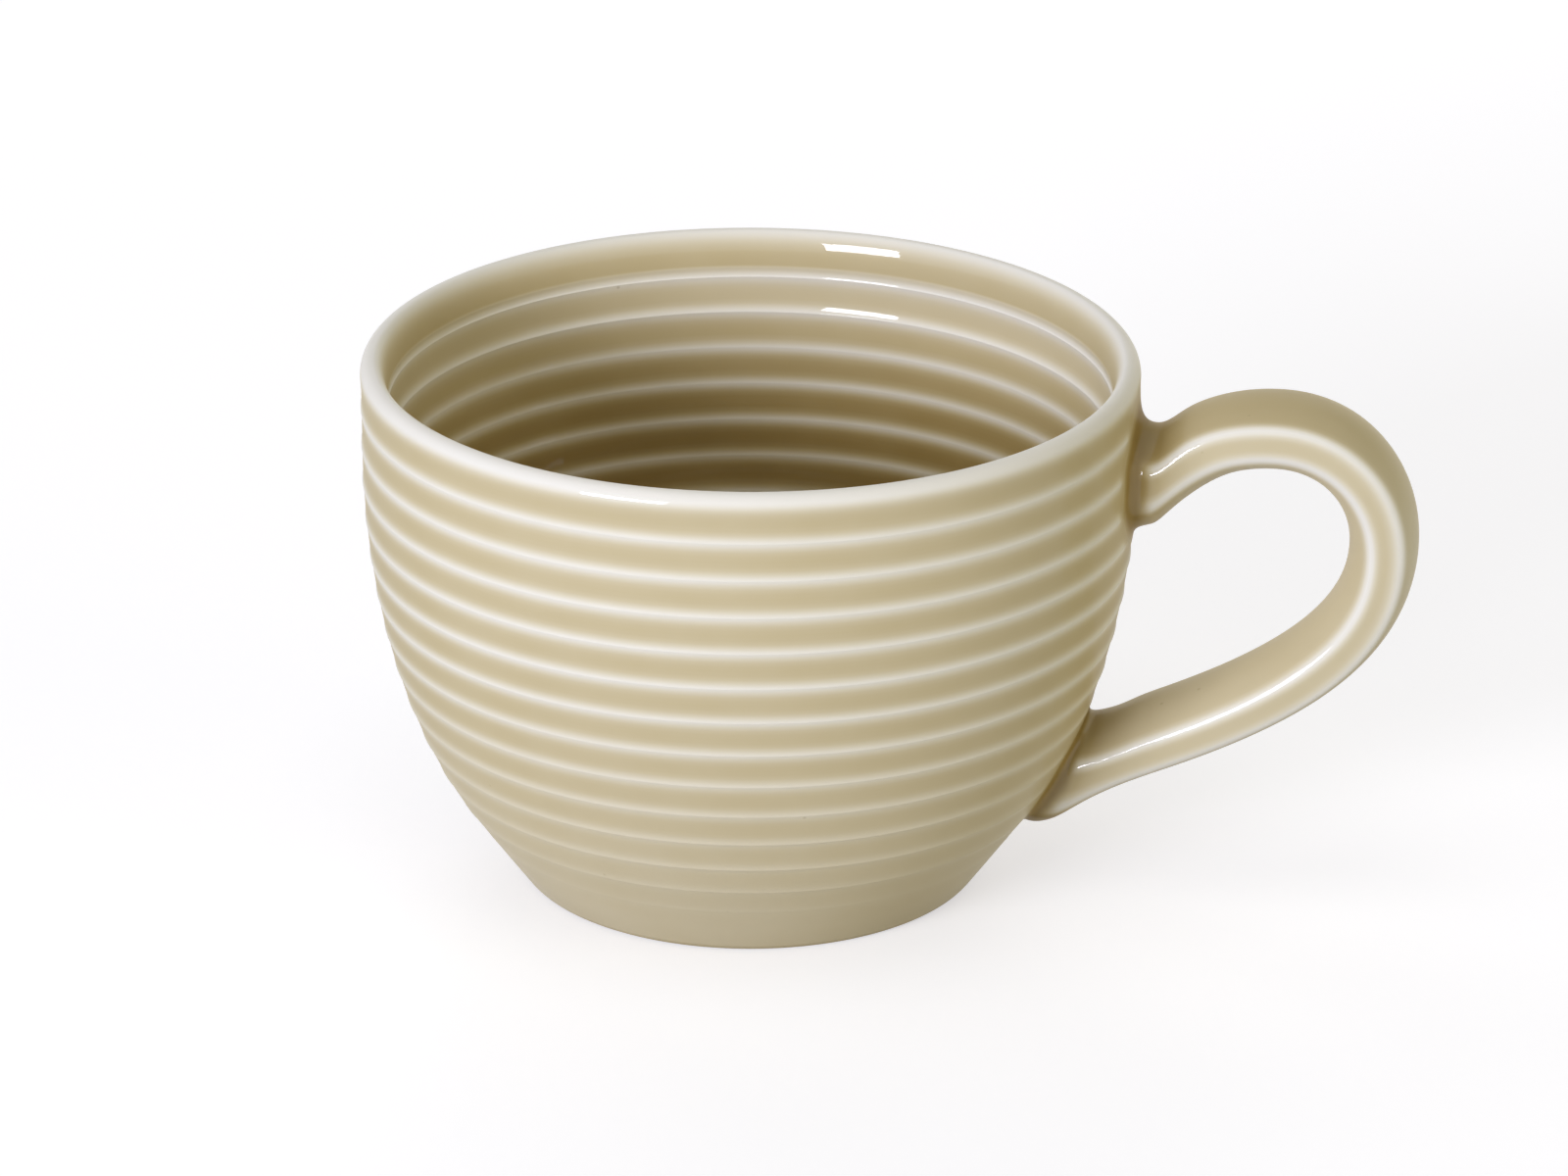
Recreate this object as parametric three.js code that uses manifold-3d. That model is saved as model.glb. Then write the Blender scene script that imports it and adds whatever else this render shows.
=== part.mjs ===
// Porcelain espresso cup: a ribbed bowl, a strap handle, and the slip that sticks the handle on.
// Millimetres, +Z up. The cup stands on the XY plane, its handle towards +X.
import * as THREE from 'three';
import { mergeVertices } from 'three/addons/utils/BufferGeometryUtils.js';
import Module from 'manifold-3d';

// Bowl, outside
const HEIGHT = 46.4; // standing face to the top of the lip
const RIM_RADIUS = 33; // widest radius, over the crests of the ribs
const LIP_RISE = 1.25; // height of the rounded lip above the wall
const STRAIGHT_BAND = 8.1; // upright band, from the top of the lip to the start of the belly
const BELLY_DRAW = 19.65; // radial half axis of the belly's ellipse
const TAPER_HEIGHT = 7; // below this height the wall runs straight to the foot

// Bowl, inside
const LIP_THICKNESS = 2.3; // wall at the lip
const FLOOR_HEIGHT = 4.2; // inside floor above the standing face
const INNER_DRAW = 19; // radial half axis of the inside's ellipse

// Ribs: shallow concave flutes that meet in sharp crests, in rings round both sides of the wall
const RIB_PITCH = 3.25; // crest to crest, along the wall
const FIRST_RIB = 2.85; // first crest below the lip, along the wall
const FLUTE_DEPTH = 0.3; // middle of a flute below its crests
const RIB_FADE = 12; // the flutes run out over this length of wall
const RIB_END = 2.5; // length of plain wall above the foot, and before the inside floor

// Foot
const FOOT_ROUND = 0.6; // rounded outer edge
const FOOT_RING = 2.4; // width of the flat standing ring
const RECESS_DEPTH = 1.6; // hollow under the floor
const RECESS_SLOPE = 1; // run of the ring's sloping inner side

// Handle: a strap with a crowned back, a crowned inner face and narrow hollow sides
const HANDLE_REACH = 21.5; // centreline beyond the rim at its outermost point
const HANDLE_REACH_DROP = 13.8; // that point below the top of the lip
const HANDLE_TOP_REACH = 11.8; // centreline beyond the rim at its highest point
const HANDLE_TOP_DROP = 3.8; // that point below the top of the lip
const UPPER_RISE = 36; // degrees, climb of the upper arm as it leaves the wall
const LOWER_RISE = 20.5; // degrees, climb of the lower arm as it leaves the wall
const BACK_HALF_WIDTH = 4.95; // strap's half width at the edges of its back
const INNER_HALF_WIDTH = 5.2; // and at the edges of its inner face
const SIDE_HEIGHT = 2.25; // strap's narrow side, edge to edge
const SIDE_HOLLOW = 0.15; // dip in the middle of that side
const BACK_CROWN = 1.3; // rise of the back between its edges
const INNER_CROWN = 2.3; // rise of the inner face between its edges

// Lengths of the pulls that round the handle's three curves
const UPPER_PULL = 2.4;
const TOP_PULL_IN = 6;
const TOP_PULL_OUT = 5.7;
const REACH_PULL_IN = 5.4;
const REACH_PULL_OUT = 10.3;
const LOWER_PULL = 15.5;

// Joints: each end of the handle spreads to a flat face just off the wall, and slip fills the rest
const UPPER_JOINT = {
  drop: 8, // centreline below the top of the lip
  standoff: 2, // centreline's end beyond the wall
  back: 3.6, // face above the centreline
  inner: 4.85, // face below it
  tilt: 0, // degrees, lean of the face from upright
  spread: 7, // length over which the strap changes into the face
  fillet: 2.3, // slip's reach along the wall
};
const LOWER_JOINT = {
  height: 11.1, // centreline above the standing face
  standoff: 1.5,
  back: 5.9,
  inner: 5,
  tilt: 18,
  spread: 9,
  fillet: 1.6,
};
const JOINT_WIDENING = 1.06; // strap's width at a joint face, as a ratio
const SLIP_EDGE = 0.2; // slip's thickness where it runs out on the wall
const CLEARANCE = 0.3; // between pieces

// Facets
const TURN_STEPS = 48; // round the bowl
const FLUTE_STEPS = 3; // across a flute
const LIP_STEPS = 6;
const FOOT_STEPS = 3;
const CROWN_STEPS = 6; // across each crowned face of the strap
const ARM_STEPS = [8, 8, 14]; // along the upper arm, the bend and the lower arm
const FILLET_STEPS = 5;

const LIP_BASE = HEIGHT - LIP_RISE;
const BELLY_TOP = HEIGHT - STRAIGHT_BAND;
const degrees = THREE.MathUtils.degToRad;
const { lerp, smoothstep } = THREE.MathUtils;

const wasm = await Module();
wasm.setup();

// Radius of the smooth outer wall, over the crests: an upright band, an elliptical belly, and a
// straight taper that carries on the belly's slope to the foot.
function outerRadius(z) {
  const depth = THREE.MathUtils.clamp((BELLY_TOP - z) / BELLY_TOP, 0, 1 - TAPER_HEIGHT / BELLY_TOP);
  const belly = RIM_RADIUS - BELLY_DRAW * (1 - Math.sqrt(1 - depth * depth));
  const slope = (BELLY_DRAW * depth) / (BELLY_TOP * Math.sqrt(1 - depth * depth));
  return belly - slope * Math.max(0, TAPER_HEIGHT - z);
}

// Outer wall from the lip down to the foot's corner, as points in (radius, height).
function outerWall() {
  const taperAngle = Math.asin(1 - TAPER_HEIGHT / BELLY_TOP);
  const wall = new THREE.CurvePath();
  wall.add(new THREE.LineCurve(
    new THREE.Vector2(RIM_RADIUS, LIP_BASE),
    new THREE.Vector2(RIM_RADIUS, BELLY_TOP),
  ));
  wall.add(new THREE.EllipseCurve(
    RIM_RADIUS - BELLY_DRAW, BELLY_TOP, BELLY_DRAW, BELLY_TOP, 0, -taperAngle, true,
  ));
  wall.add(new THREE.LineCurve(
    new THREE.Vector2(outerRadius(TAPER_HEIGHT), TAPER_HEIGHT),
    new THREE.Vector2(outerRadius(0), 0),
  ));
  return wall;
}

// Inner wall from the lip down to the edge of the flat floor.
function innerWall() {
  const wall = new THREE.CurvePath();
  wall.add(new THREE.EllipseCurve(
    RIM_RADIUS - LIP_THICKNESS - INNER_DRAW, LIP_BASE,
    INNER_DRAW, LIP_BASE - FLOOR_HEIGHT, 0, -Math.PI / 2, true,
  ));
  return wall;
}

// A wall's points from the lip down, with its flutes cut into the material. side is 1 where the
// material lies towards the axis and -1 where it lies away from it.
function fluted(wall, side) {
  const length = wall.getLength();
  const crests = [0];
  for (let at = FIRST_RIB; at < length - RIB_END; at += RIB_PITCH) crests.push(at);
  const points = [];
  for (let rib = 0; rib + 1 < crests.length; rib++) {
    for (let step = 0; step < FLUTE_STEPS; step++) {
      const across = step / FLUTE_STEPS;
      const at = lerp(crests[rib], crests[rib + 1], across);
      const fade = smoothstep(length - RIB_END - at, 0, RIB_FADE);
      const cut = FLUTE_DEPTH * fade * 4 * across * (1 - across);
      const tangent = wall.getTangent(at / length);
      const inwards = new THREE.Vector2(tangent.y, -tangent.x).multiplyScalar(side * cut);
      points.push(wall.getPoint(at / length).add(inwards));
    }
  }
  points.push(wall.getPoint(crests.at(-1) / length));
  return points;
}

// Shared vertices joined, slivers of no area dropped and faces turned outwards.
function welded(geometry) {
  geometry.deleteAttribute('normal');
  geometry.deleteAttribute('uv');
  const merged = mergeVertices(geometry, 1e-4);
  const index = merged.index.array;
  const corners = [0, 1, 2].map(() => new THREE.Vector3());
  const faces = [];
  let volume = 0;
  for (let i = 0; i < index.length; i += 3) {
    const face = [index[i], index[i + 1], index[i + 2]];
    if (new Set(face).size < 3) continue;
    face.forEach((vertex, k) => corners[k].fromBufferAttribute(merged.attributes.position, vertex));
    volume += corners[0].dot(corners[1].cross(corners[2]));
    faces.push(face);
  }
  merged.setIndex((volume < 0 ? faces.map((face) => face.reverse()) : faces).flat());
  return merged;
}

// A profile in (radius, height), turned about the Z axis.
function turned(profile) {
  return welded(new THREE.LatheGeometry(profile, TURN_STEPS).rotateX(Math.PI / 2));
}

// A closed skin over rings of equally many points, with a fan of triangles over each end.
function lofted(rings) {
  const sides = rings[0].length;
  const points = rings.flat();
  const index = [];
  for (let ring = 0; ring + 1 < rings.length; ring++) {
    for (let i = 0; i < sides; i++) {
      const a = ring * sides + i;
      const b = ring * sides + ((i + 1) % sides);
      index.push(a, b, b + sides, a, b + sides, a + sides);
    }
  }
  for (const [first, turn] of [[0, 1], [(rings.length - 1) * sides, -1]]) {
    const hub = points.length;
    const ring = points.slice(first, first + sides);
    points.push(ring.reduce((sum, p) => sum.add(p), new THREE.Vector3()).divideScalar(sides));
    for (let i = 0; i < sides; i++) {
      const edge = [first + i, first + ((i + 1) % sides)];
      index.push(hub, edge[turn > 0 ? 1 : 0], edge[turn > 0 ? 0 : 1]);
    }
  }
  return welded(new THREE.BufferGeometry().setFromPoints(points).setIndex(index));
}

function toManifold(geometry) {
  return new wasm.Manifold(new wasm.Mesh({
    numProp: 3,
    vertProperties: new Float32Array(geometry.attributes.position.array),
    triVerts: new Uint32Array(geometry.index.array),
  }));
}

function fromManifold(manifold) {
  const mesh = manifold.getMesh();
  const geometry = new THREE.BufferGeometry();
  geometry.setAttribute('position', new THREE.BufferAttribute(mesh.vertProperties, 3));
  geometry.setIndex(new THREE.BufferAttribute(mesh.triVerts, 1));
  return geometry;
}

// The bowl: hollow foot, fluted outer wall, rounded lip, fluted inner wall and flat floor.
function bowl() {
  const footRadius = outerRadius(0);
  const ringOuter = footRadius - FOOT_ROUND;
  const ringInner = ringOuter - FOOT_RING;
  const footRound = new THREE.QuadraticBezierCurve(
    new THREE.Vector2(ringOuter, 0),
    new THREE.Vector2(footRadius, 0),
    new THREE.Vector2(outerRadius(FOOT_ROUND), FOOT_ROUND),
  );
  const lip = new THREE.EllipseCurve(
    RIM_RADIUS - LIP_THICKNESS / 2, LIP_BASE, LIP_THICKNESS / 2, LIP_RISE, 0, Math.PI, false,
  );
  return turned([
    new THREE.Vector2(0, RECESS_DEPTH),
    new THREE.Vector2(ringInner - RECESS_SLOPE, RECESS_DEPTH),
    new THREE.Vector2(ringInner, 0),
    ...footRound.getPoints(FOOT_STEPS),
    ...fluted(outerWall(), 1).reverse(),
    ...lip.getPoints(LIP_STEPS).slice(1, -1),
    ...fluted(innerWall(), -1),
    innerWall().getPoint(1),
    new THREE.Vector2(0, FLOOR_HEIGHT),
  ]);
}

// Where a joint's centreline ends, just off the wall, in (x, height).
function jointCentre(joint) {
  const height = joint.height ?? HEIGHT - joint.drop;
  return new THREE.Vector2(outerRadius(height) + joint.standoff, height);
}

// The handle's centreline, wall to wall, as three curves in (x, height).
function handleCurves() {
  const upper = jointCentre(UPPER_JOINT);
  const lower = jointCentre(LOWER_JOINT);
  const top = new THREE.Vector2(RIM_RADIUS + HANDLE_TOP_REACH, HEIGHT - HANDLE_TOP_DROP);
  const outermost = new THREE.Vector2(RIM_RADIUS + HANDLE_REACH, HEIGHT - HANDLE_REACH_DROP);
  const pulled = (from, angle, length) => new THREE.Vector2(
    from.x + length * Math.cos(degrees(angle)),
    from.y + length * Math.sin(degrees(angle)),
  );
  return [
    new THREE.CubicBezierCurve(
      upper, pulled(upper, UPPER_RISE, UPPER_PULL), pulled(top, 180, TOP_PULL_IN), top,
    ),
    new THREE.CubicBezierCurve(
      top, pulled(top, 0, TOP_PULL_OUT), pulled(outermost, 90, REACH_PULL_IN), outermost,
    ),
    new THREE.CubicBezierCurve(
      outermost, pulled(outermost, -90, REACH_PULL_OUT), pulled(lower, LOWER_RISE, LOWER_PULL), lower,
    ),
  ];
}

// The strap's section: points (out, across), out being away from the finger gap.
function strapSection() {
  const crowned = (side, rise, halfWidth) => Array.from({ length: CROWN_STEPS + 1 }, (_, i) => {
    const across = 1 - (2 * i) / CROWN_STEPS;
    return new THREE.Vector2(
      side * (SIDE_HEIGHT / 2 + rise * (1 - across * across)), side * across * halfWidth,
    );
  });
  const hollow = (BACK_HALF_WIDTH + INNER_HALF_WIDTH) / 2 - SIDE_HOLLOW;
  return [
    ...crowned(1, BACK_CROWN, BACK_HALF_WIDTH),
    new THREE.Vector2(0, -hollow),
    ...crowned(-1, INNER_CROWN, INNER_HALF_WIDTH),
    new THREE.Vector2(0, hollow),
  ];
}

// The section set at a point of the centreline. Towards a joint it turns into the joint's face.
function strapRing(centre, tangent, joint, weight) {
  const square = new THREE.Vector2(-tangent.y, tangent.x);
  const lean = degrees(joint.tilt);
  const upwards = joint === UPPER_JOINT ? 1 : -1;
  const face = new THREE.Vector2(Math.sin(lean), Math.cos(lean)).multiplyScalar(upwards);
  const out = square.lerp(face, weight).normalize();
  const backScale = lerp(1, joint.back / (SIDE_HEIGHT / 2 + BACK_CROWN), weight);
  const innerScale = lerp(1, joint.inner / (SIDE_HEIGHT / 2 + INNER_CROWN), weight);
  const widening = lerp(1, JOINT_WIDENING, weight);
  return strapSection().map((point) => {
    const reach = point.x * (point.x > 0 ? backScale : innerScale);
    return new THREE.Vector3(
      centre.x + out.x * reach, point.y * widening, centre.y + out.y * reach,
    );
  });
}

function handle() {
  const curves = handleCurves();
  const lengths = curves.map((curve) => curve.getLength());
  const total = lengths[0] + lengths[1] + lengths[2];
  const rings = [];
  let before = 0;
  curves.forEach((curve, part) => {
    for (let step = part ? 1 : 0; step <= ARM_STEPS[part]; step++) {
      const share = step / ARM_STEPS[part];
      const along = before + share * lengths[part];
      const joint = along < total / 2 ? UPPER_JOINT : LOWER_JOINT;
      const toJoint = Math.min(along, total - along);
      const weight = 1 - smoothstep(toJoint, 0, joint.spread);
      rings.push(strapRing(curve.getPointAt(share), curve.getTangentAt(share), joint, weight));
    }
    before += lengths[part];
  });
  return lofted(rings);
}

// Point on the +X side, lifted off the smooth outer wall so that slip there keeps a thin edge.
function offWall(across, height) {
  const radius = outerRadius(height) + CLEARANCE + SLIP_EDGE;
  return new THREE.Vector3(Math.sqrt(radius * radius - across * across), across, height);
}

// The bowl's outside with the clearance added, for cutting what seats against it.
function wallCutter() {
  const profile = [new THREE.Vector2(0, -HEIGHT)];
  for (const point of outerWall().getPoints(TURN_STEPS).reverse()) {
    profile.push(new THREE.Vector2(point.x + CLEARANCE, point.y));
  }
  profile.splice(1, 0, new THREE.Vector2(outerRadius(0) + CLEARANCE, -HEIGHT));
  profile.push(new THREE.Vector2(RIM_RADIUS + CLEARANCE, 2 * HEIGHT), new THREE.Vector2(0, 2 * HEIGHT));
  return toManifold(turned(profile));
}

// Slip between a joint face and the wall. Its skin leaves the face square and runs out along the
// wall, as a fingered fillet does.
function slip(joint) {
  const centre = jointCentre(joint);
  const level = new THREE.Vector2(joint === UPPER_JOINT ? 1 : -1, 0);
  const face = strapRing(centre, level, joint, 1);
  const fillets = face.map((point) => {
    const away = new THREE.Vector2(point.y, point.z - centre.y).setLength(joint.fillet);
    const start = point.clone().setX(point.x - CLEARANCE);
    const corner = offWall(point.y, point.z);
    return new THREE.QuadraticBezierCurve3(start, corner, offWall(point.y + away.x, point.z + away.y));
  });
  const rings = Array.from({ length: FILLET_STEPS + 1 }, (_, i) => (
    fillets.map((fillet) => fillet.getPoint(i / FILLET_STEPS))
  ));
  const sunk = rings.at(-1).map((point) => point.clone().setX(point.x - LIP_THICKNESS));
  const body = toManifold(lofted([...rings, sunk]));
  return fromManifold(body.subtract(wallCutter()));
}

function piece(name, geometry, color) {
  const material = new THREE.MeshStandardMaterial({ color, roughness: 0.18, metalness: 0 });
  const mesh = new THREE.Mesh(geometry, material);
  mesh.name = name;
  return mesh;
}

const cup = new THREE.Group();
cup.add(
  piece('cup_body', bowl(), 0xc6b994),
  piece('handle', handle(), 0xcdbf99),
  piece('upper_joint_slip', slip(UPPER_JOINT), 0xb4a57c),
  piece('lower_joint_slip', slip(LOWER_JOINT), 0xb4a57c),
);

// The origin lies on the standing face under the middle of the whole cup, handle included.
const handleTip = RIM_RADIUS + HANDLE_REACH + SIDE_HEIGHT / 2 + BACK_CROWN;
cup.position.x = (RIM_RADIUS - handleTip) / 2;

const model = new THREE.Group();
model.add(cup);
export default model;
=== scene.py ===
"""Looks of a glazed porcelain espresso cup: ribbed bowl, strap handle and the slip at its joints.

Metres, +Z up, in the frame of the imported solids. The bowl's axis is upright, and the handle points to +X.
"""
import logging
import math
from dataclasses import dataclass, field
from enum import Enum
from functools import cache

import bpy
import numpy as np
from bpy.types import ID, Material, Mesh, Node, NodeSocket, NodeTree, Object
from mathutils import Matrix, Vector


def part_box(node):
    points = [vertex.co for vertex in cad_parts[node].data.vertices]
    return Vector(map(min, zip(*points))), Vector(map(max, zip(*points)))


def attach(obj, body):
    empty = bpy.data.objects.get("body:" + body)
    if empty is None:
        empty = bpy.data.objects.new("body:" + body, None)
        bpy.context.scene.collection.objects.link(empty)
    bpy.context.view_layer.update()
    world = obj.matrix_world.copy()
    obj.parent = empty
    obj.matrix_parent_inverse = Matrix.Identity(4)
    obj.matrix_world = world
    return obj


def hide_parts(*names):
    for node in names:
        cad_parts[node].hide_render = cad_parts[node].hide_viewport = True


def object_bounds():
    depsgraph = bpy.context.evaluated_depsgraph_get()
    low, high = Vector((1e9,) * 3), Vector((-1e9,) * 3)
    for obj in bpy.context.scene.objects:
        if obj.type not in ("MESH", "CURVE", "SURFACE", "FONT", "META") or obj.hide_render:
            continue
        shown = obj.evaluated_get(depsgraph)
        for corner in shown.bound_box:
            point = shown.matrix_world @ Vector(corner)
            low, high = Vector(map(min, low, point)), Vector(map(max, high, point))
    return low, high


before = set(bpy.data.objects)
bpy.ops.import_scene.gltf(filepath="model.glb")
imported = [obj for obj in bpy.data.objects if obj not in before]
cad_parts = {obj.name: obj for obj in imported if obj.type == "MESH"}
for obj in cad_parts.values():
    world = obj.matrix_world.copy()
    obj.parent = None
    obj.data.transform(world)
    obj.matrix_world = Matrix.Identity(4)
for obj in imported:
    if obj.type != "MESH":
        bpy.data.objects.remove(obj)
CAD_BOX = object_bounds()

MM = 0.001
BODY = "root"
GLAZE_AND_SHADING_ATTRIBUTE = "glaze_and_painted_shading"
LOG = logging.getLogger("espresso_cup")

# Points that a wall's line and each curve of the handle are measured by
WALL_SAMPLES = 4000
CURVE_SAMPLES = 800

# Step for a wall's slope, as a share of its length
SLOPE_STEP = 1e-4

# Ways that the hidden ends of the handle and of its slips face
TO_WALL = (-1.0, 0.0, 0.0)
OFF_WALL = (1.0, 0.0, 0.0)

# Colour sockets of Blender's Mix node
MIX_FIRST, MIX_SECOND, MIX_RESULT = 6, 7, 2

# Dull patches' scale, of the ripples' scale
DULL_SCALE = 0.3

# Share of the cells without a pinhole, and where a pinhole's middle and rim lie, in cells
PINHOLE_FREE = 0.86
PINHOLE_MIDDLE, PINHOLE_RIM = 0.02, 0.06

Array = np.ndarray
Colour = tuple[float, float, float]


class Side(Enum):
    """Which side of the bowl's wall a line follows. The value says which way that side faces, out or in."""

    OUTSIDE = 1
    INSIDE = -1


class End(Enum):
    """The handle's two ends. The value says which way the strap's back faces there, up or down."""

    UPPER = 1
    LOWER = -1


def smoothstep(value: Array | float, low: float, high: float) -> Array:
    """Rise from 0 at a low value to 1 at a high one, with level ends."""
    share = np.clip((np.asarray(value, float) - low) / (high - low), 0, 1)
    return share * share * (3 - 2 * share)


def crowded(count: int) -> Array:
    """Shares from 0 up to 1, closest together at both ends, with the 1 left out."""
    return (1 - np.cos(np.pi * np.arange(count) / count)) / 2


def bezier(controls: Array, share: Array) -> Array:
    """Points of a Bezier curve at shares from 0 to 1. The control points lie along the first axis."""
    spread = share.reshape((-1,) + (1,) * (controls.ndim - 1))
    layer = [np.repeat(point[None], len(share), axis=0) for point in controls]
    while len(layer) > 1:
        layer = [a + (b - a) * spread for a, b in zip(layer, layer[1:])]
    return layer[0]


def skin_mesh(name: str, rings: Array, hubs: tuple[Array, Array]) -> Mesh:
    """Closed smooth mesh over rings of equally many points.

    Args:
        name: The mesh's name.
        rings: Points in rings, as (ring, point, xyz).
        hubs: Points that close the first and the last ring.

    Returns:
        The mesh, with its faces pointing out. Its vertices are the rings in order, then the hubs.
    """
    count, sides, _ = rings.shape
    ring, point = np.meshgrid(np.arange(count - 1), np.arange(sides), indexing="ij")
    a = (ring * sides + point).ravel()
    b = (ring * sides + (point + 1) % sides).ravel()
    quads = np.stack([a, b, b + sides, a + sides], axis=1)
    first = np.arange(sides)
    second = (first + 1) % sides
    hub = count * sides
    last = hub - sides
    start_fan = np.stack([np.full(sides, hub), second, first], axis=1)
    end_fan = np.stack([np.full(sides, hub + 1), last + first, last + second], axis=1)
    vertices = np.concatenate([rings.reshape(-1, 3), np.stack(hubs)])
    corners = vertices[quads]
    edges = np.cross(corners[:, 2] - corners[:, 0], corners[:, 3] - corners[:, 1])
    volume = np.sum(edges * (corners.mean(axis=1) - vertices.mean(axis=0)))
    faces = quads.tolist() + start_fan.tolist() + end_fan.tolist()
    if volume < 0:
        faces = [face[::-1] for face in faces]
    mesh = bpy.data.meshes.new(name)
    mesh.from_pydata(vertices.tolist(), [], faces)
    mesh.polygons.foreach_set("use_smooth", np.ones(len(faces), bool))
    mesh.update()
    return mesh


def skin_normals(rings: Array) -> Array:
    """Unit normals of a skin over closed rings, pointing out of it, from its own slopes."""
    along = np.gradient(rings, axis=0)
    around = np.roll(rings, -1, axis=1) - np.roll(rings, 1, axis=1)
    normals = np.cross(around, along)
    normals /= np.linalg.norm(normals, axis=2, keepdims=True)
    outwards = rings - rings.mean(axis=1, keepdims=True)
    return normals if np.sum(normals * outwards) > 0 else -normals


def sponged(skin: Array, passes: int) -> Array:
    """Smooth a skin of rings along its length, as a damp sponge does. The two end rings are held."""
    smooth = skin.copy()
    for _ in range(passes):
        smooth[1:-1] = (smooth[:-2] + 2 * smooth[1:-1] + smooth[2:]) / 4
    return smooth


def set_glaze(mesh: Mesh, thickness: Array) -> None:
    """Store the glaze's thickness at each vertex, which also carries painted light and shade: 0 on bare
    clay, 1 in the middle of a flute.
    """
    layer = mesh.attributes.new(GLAZE_AND_SHADING_ATTRIBUTE, "FLOAT", "POINT")
    layer.data.foreach_set("value", np.ascontiguousarray(thickness, np.float32))


def placed(data: ID) -> Object:
    """Put a mesh, a lamp or a camera in the scene as an object of the same name."""
    thing = bpy.data.objects.new(data.name, data)
    bpy.context.scene.collection.objects.link(thing)
    return thing


def glazed_loft(name: str, rings: Array, normals: Array, thickness: Array, ends: Array) -> Object:
    """Make a piece over rings with normals and glaze of their own, closed by ends that face given ways."""
    mesh = skin_mesh(name, rings, (rings[0].mean(axis=0), rings[-1].mean(axis=0)))
    mesh.normals_split_custom_set_from_vertices(np.concatenate([normals.reshape(-1, 3), ends]))
    set_glaze(mesh, np.concatenate([thickness.ravel(), [1, 1]]))
    return placed(mesh)


class NodeSheet:
    """Places and links the shader nodes of one tree."""

    def __init__(self, tree: NodeTree) -> None:
        """Start an empty sheet on a tree."""
        self.tree = tree
        tree.nodes.clear()

    def add(self, kind: str, values: dict[str | int, object] | None = None, **settings: object) -> Node:
        """Place a node.

        Args:
            kind: Blender's name of the node's type, without its first words ShaderNode.
            values: Input sockets' names or numbers, each with a value or with a socket to link from.
            settings: Properties of the node.

        Returns:
            The node.
        """
        full_name = kind if kind.startswith("Node") else "ShaderNode" + kind
        node = self.tree.nodes.new(full_name)
        for key, value in settings.items():
            setattr(node, key, value)
        for key, value in (values or {}).items():
            if isinstance(value, NodeSocket):
                self.tree.links.new(value, node.inputs[key])
            else:
                node.inputs[key].default_value = value
        return node

    def math(self, operation: str, first: object, second: object) -> NodeSocket:
        """Result of a sum of two numbers or sockets, under Blender's name for it."""
        return self.add("Math", {0: first, 1: second}, operation=operation).outputs[0]

    def mix(self, share: object, first: object, second: object, blend: str = "MIX") -> NodeSocket:
        """Mix of two colours or sockets, by the second's share and Blender's name of the blend."""
        values = {"Factor": share, MIX_FIRST: first, MIX_SECOND: second}
        return self.add("Mix", values, data_type="RGBA", blend_type=blend).outputs[MIX_RESULT]

    def noise(self, scale: object, detail: float) -> NodeSocket:
        """Noise from 0 to 1 that sticks to the piece."""
        place = self.add("TexCoord").outputs["Object"]
        return self.add("TexNoise", {"Vector": place, "Scale": scale, "Detail": detail}).outputs["Fac"]

    def ramp(self, value: object, start: float, end: float, low: float, high: float) -> NodeSocket:
        """Straight change from low at the start to high at the end, and level beyond both."""
        return self.add("MapRange", {0: value, 1: start, 2: end, 3: low, 4: high}).outputs[0]


def blank_material(name: str) -> tuple[Material, NodeSheet]:
    """A new material and the sheet to draw it on."""
    material = bpy.data.materials.new(name)
    material.use_nodes = True
    return material, NodeSheet(material.node_tree)


def node_group(name: str, inputs: dict[str, str], outputs: dict[str, str]) -> tuple[NodeSheet, dict]:
    """Start a shader node group from its sockets' kinds by name. Gives its sheet and its inputs by name."""
    group = bpy.data.node_groups.new(name, "ShaderNodeTree")
    for way, sockets in (("INPUT", inputs), ("OUTPUT", outputs)):
        for socket, kind in sockets.items():
            group.interface.new_socket(socket, in_out=way, socket_type="NodeSocket" + kind)
    sheet = NodeSheet(group)
    return sheet, dict(sheet.add("NodeGroupInput").outputs.items())


@cache
def clay_under_glaze_group() -> NodeTree:
    """Group: colour of clay under a tinted glaze, which darkens with its thickness as a filter does."""
    sheet, given = node_group(
        "clay_under_glaze",
        {
            "Thickness": "Float", "Clay": "Color", "Tint": "Color",
            "Unevenness": "Float", "Patch Size": "Float",
        },
        {"Color": "Color"},
    )
    noise = sheet.noise(sheet.math("DIVIDE", 1.0, given["Patch Size"]), detail=3.0)
    swing = sheet.math("MULTIPLY", sheet.math("SUBTRACT", noise, 0.5), given["Unevenness"])
    thickness = sheet.math("MULTIPLY", given["Thickness"], sheet.math("ADD", swing, 1.0))
    tint = sheet.add("SeparateColor", {"Color": given["Tint"]}).outputs
    channels = ("Red", "Green", "Blue")
    passed = {channel: sheet.math("POWER", tint[channel], thickness) for channel in channels}
    light = sheet.add("CombineColor", passed).outputs[0]
    sheet.add("NodeGroupOutput", {"Color": sheet.mix(1.0, given["Clay"], light, "MULTIPLY")})
    return sheet.tree


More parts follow.
